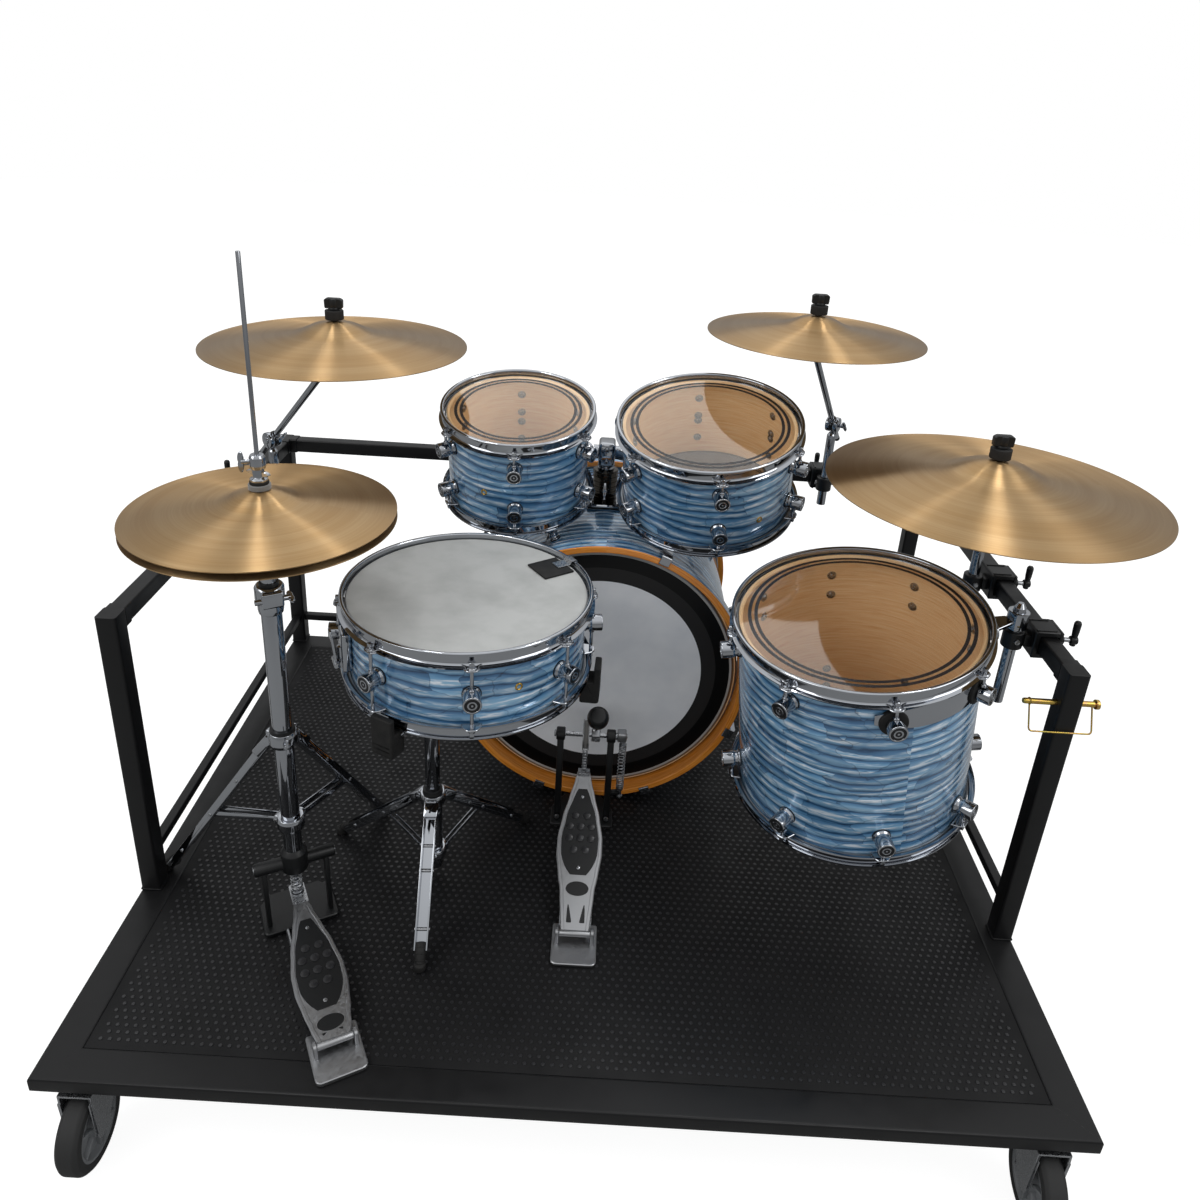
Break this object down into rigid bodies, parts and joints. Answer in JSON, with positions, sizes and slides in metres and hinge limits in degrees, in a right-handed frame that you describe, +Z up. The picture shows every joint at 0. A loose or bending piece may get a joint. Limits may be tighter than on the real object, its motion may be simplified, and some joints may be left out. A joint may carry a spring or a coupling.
{
  "type": "drum set cart",
  "caption": "Wheeled square-tube rack with a deck that carries a rigged drum set, with cymbals on rail booms, working pedals and swivelling casters.",
  "frame": {"origin": "on the floor under the middle of the deck", "axes": "+Z up, +Y away from the drummer, +X to the drummer's right"},
  "size_m": [1.6228, 1.2269, 1.2427],
  "materials": {
    "black_powder_coat": "satin",
    "deck_black": "textured",
    "chrome": "polished",
    "yellow_zinc": "plated",
    "cymbal_bronze": "lathed",
    "blue_pearl_wrap": "gloss",
    "amber_wood": "gloss",
    "frosted_film": "frosted",
    "coated_film": "coated",
    "clear_film": "clear",
    "black_hardware": "satin",
    "steel": "plain",
    "tyre_rubber": "matte"
  },
  "bodies": {
    "cart": {"deck_frame": "black_powder_coat", "deck_panel": "deck_black", "rack_frame": "black_powder_coat", "top_rail_left": "black_powder_coat", "top_rail_back": "black_powder_coat", "top_rail_right": "black_powder_coat", "caster_back_left": "steel", "caster_back_right": "steel", "bass_shell": "blue_pearl_wrap", "bass_hoop_batter": "amber_wood", "bass_hoop_front": "amber_wood", "bass_head_batter": "frosted_film", "bass_head_front": "frosted_film", "tom_mount": "chrome", "snare_shell": "blue_pearl_wrap", "snare_hoop": "chrome", "snare_head": "coated_film", "snare_bottom": "chrome", "snare_wires": "steel", "snare_stand": "chrome", "floor_tom_clamp": "black_hardware", "ride_clamp": "black_hardware", "crash_right_clamp": "black_hardware", "crash_left_clamp": "black_hardware", "hihat_stand": "chrome", "hihat_spring": "steel", "hihat_bottom_cymbal": "cymbal_bronze", "pedal_frame": "black_hardware", "pedal_spring": "steel"},
    "caster_left": {"caster_fork_left": "steel"},
    "caster_right": {"caster_fork_right": "steel"},
    "front_left_wheel": {"wheel_front_left": "tyre_rubber"},
    "front_right_wheel": {"wheel_front_right": "tyre_rubber"},
    "back_left_wheel": {"wheel_back_left": "tyre_rubber"},
    "back_right_wheel": {"wheel_back_right": "tyre_rubber"},
    "pin": {"hitch_pin": "yellow_zinc"},
    "tom_left": {"tom_left_shell": "blue_pearl_wrap", "tom_left_hoop": "chrome", "tom_left_head": "clear_film", "tom_left_bottom": "chrome"},
    "tom_right": {"tom_right_shell": "blue_pearl_wrap", "tom_right_hoop": "chrome", "tom_right_head": "clear_film", "tom_right_bottom": "chrome"},
    "floor_tom": {"floor_tom_shell": "blue_pearl_wrap", "floor_tom_hoop": "chrome", "floor_tom_head": "clear_film", "floor_tom_bottom": "chrome"},
    "ride_arm": {"ride_boom": "chrome"},
    "ride_cymbal": {"ride": "cymbal_bronze"},
    "crash_right_arm": {"crash_right_boom": "chrome"},
    "crash_right_cymbal": {"crash_right": "cymbal_bronze"},
    "crash_left_arm": {"crash_left_boom": "chrome"},
    "crash_left_cymbal": {"crash_left": "cymbal_bronze"},
    "throw_off_lever": {"snare_lever": "chrome"},
    "hihat_pedal": {"hihat_footboard": "steel"},
    "hihat_top": {"hihat_rod": "steel", "hihat_top_cymbal": "cymbal_bronze"},
    "bass_pedal": {"pedal_footboard": "steel"},
    "beater": {"pedal_beater": "steel"}
  },
  "joints": [
    {"name": "caster_left_swivel", "type": "hinge", "parent": "cart", "child": "caster_left", "pos_m": [-0.6725, -0.52, 0.142], "axis": [0, 0, 1], "continuous": true},
    {"name": "wheel_front_left_roll", "type": "hinge", "parent": "caster_left", "child": "front_left_wheel", "pos_m": [-0.6725, -0.552, 0.0625], "axis": [1, 0, 0], "continuous": true},
    {"name": "wheel_back_left_roll", "type": "hinge", "parent": "cart", "child": "back_left_wheel", "pos_m": [-0.6725, 0.52, 0.0625], "axis": [1, 0, 0], "continuous": true},
    {"name": "caster_right_swivel", "type": "hinge", "parent": "cart", "child": "caster_right", "pos_m": [0.6725, -0.52, 0.142], "axis": [0, 0, 1], "continuous": true},
    {"name": "wheel_front_right_roll", "type": "hinge", "parent": "caster_right", "child": "front_right_wheel", "pos_m": [0.6725, -0.552, 0.0625], "axis": [1, 0, 0], "continuous": true},
    {"name": "wheel_back_right_roll", "type": "hinge", "parent": "cart", "child": "back_right_wheel", "pos_m": [0.6725, 0.52, 0.0625], "axis": [1, 0, 0], "continuous": true},
    {"name": "hitch_pin_turn", "type": "hinge", "parent": "cart", "child": "pin", "pos_m": [0.71062, -0.22612, 0.6437], "axis": [-1, 0, 0], "range_deg": [0, 118]},
    {"name": "tom_left_tilt", "type": "hinge", "parent": "cart", "child": "tom_left", "pos_m": [0.006, 0.3, 0.8047], "axis": [-1, 0, 0], "range_deg": [0, 7]},
    {"name": "tom_right_tilt", "type": "hinge", "parent": "cart", "child": "tom_right", "pos_m": [0.006, 0.3, 0.8047], "axis": [-1, 0, 0], "range_deg": [0, 7]},
    {"name": "floor_tom_swing", "type": "hinge", "parent": "cart", "child": "floor_tom", "pos_m": [0.66363, -0.112, 0.7187], "axis": [0, 0, 1], "range_deg": [-6, 6]},
    {"name": "ride_boom_tilt", "type": "hinge", "parent": "cart", "child": "ride_arm", "pos_m": [0.66363, 0.078, 0.7907], "axis": [0.9087, -0.4174, 0], "range_deg": [-6, 4]},
    {"name": "ride_rock", "type": "hinge", "parent": "ride_arm", "child": "ride_cymbal", "pos_m": [0.603, -0.054, 0.95825], "axis": [1, 0, 0], "range_deg": [-8, 8]},
    {"name": "crash_right_boom_tilt", "type": "hinge", "parent": "cart", "child": "crash_right_arm", "pos_m": [0.485, 0.51113, 0.8207], "axis": [0.8511, -0.525, 0], "range_deg": [-6, 4]},
    {"name": "crash_right_rock", "type": "hinge", "parent": "crash_right_arm", "child": "crash_right_cymbal", "pos_m": [0.385, 0.349, 1.08086], "axis": [1, 0, 0], "range_deg": [-8, 8]},
    {"name": "crash_left_boom_tilt", "type": "hinge", "parent": "cart", "child": "crash_left_arm", "pos_m": [-0.66363, 0.352, 0.7707], "axis": [0.6239, 0.7815, 0], "range_deg": [-6, 4]},
    {"name": "crash_left_rock", "type": "hinge", "parent": "crash_left_arm", "child": "crash_left_cymbal", "pos_m": [-0.482, 0.207, 1.05055], "axis": [1, 0, 0], "range_deg": [-8, 8]},
    {"name": "throw_off", "type": "hinge", "parent": "cart", "child": "throw_off_lever", "pos_m": [-0.37213, -0.25523, 0.6593], "axis": [0.4226, -0.9063, 0], "range_deg": [0, 60]},
    {"name": "hihat_pedal_press", "type": "hinge", "parent": "cart", "child": "hihat_pedal", "pos_m": [-0.32724, -0.5084, 0.2027], "axis": [-0.8829, -0.4695, 0], "range_deg": [0, 1.88], "stiffness_Nm_per_rad": 20, "springref_deg": -14.32},
    {"name": "hihat_close", "type": "slide", "parent": "cart", "child": "hihat_top", "axis": [0, 0, -1], "range_m": [0, 0.009], "deforming": ["hihat_spring"]},
    {"name": "bass_pedal_press", "type": "hinge", "parent": "cart", "child": "bass_pedal", "pos_m": [-0.002, -0.3, 0.2027], "axis": [-1, 0, 0], "range_deg": [0, 10]},
    {"name": "beater_swing", "type": "hinge", "parent": "cart", "child": "beater", "pos_m": [-0.002, 0, 0.3647], "axis": [-1, 0, 0], "range_deg": [0, 62.1], "stiffness_Nm_per_rad": 0.6, "springref_deg": -68.75, "deforming": ["pedal_spring"]}
  ],
  "couplings": [
    {"joint": "hihat_close", "follows": "hihat_pedal_press", "m_per_rad": 0.27},
    {"joint": "beater_swing", "follows": "bass_pedal_press", "ratio": 6.2}
  ]
}
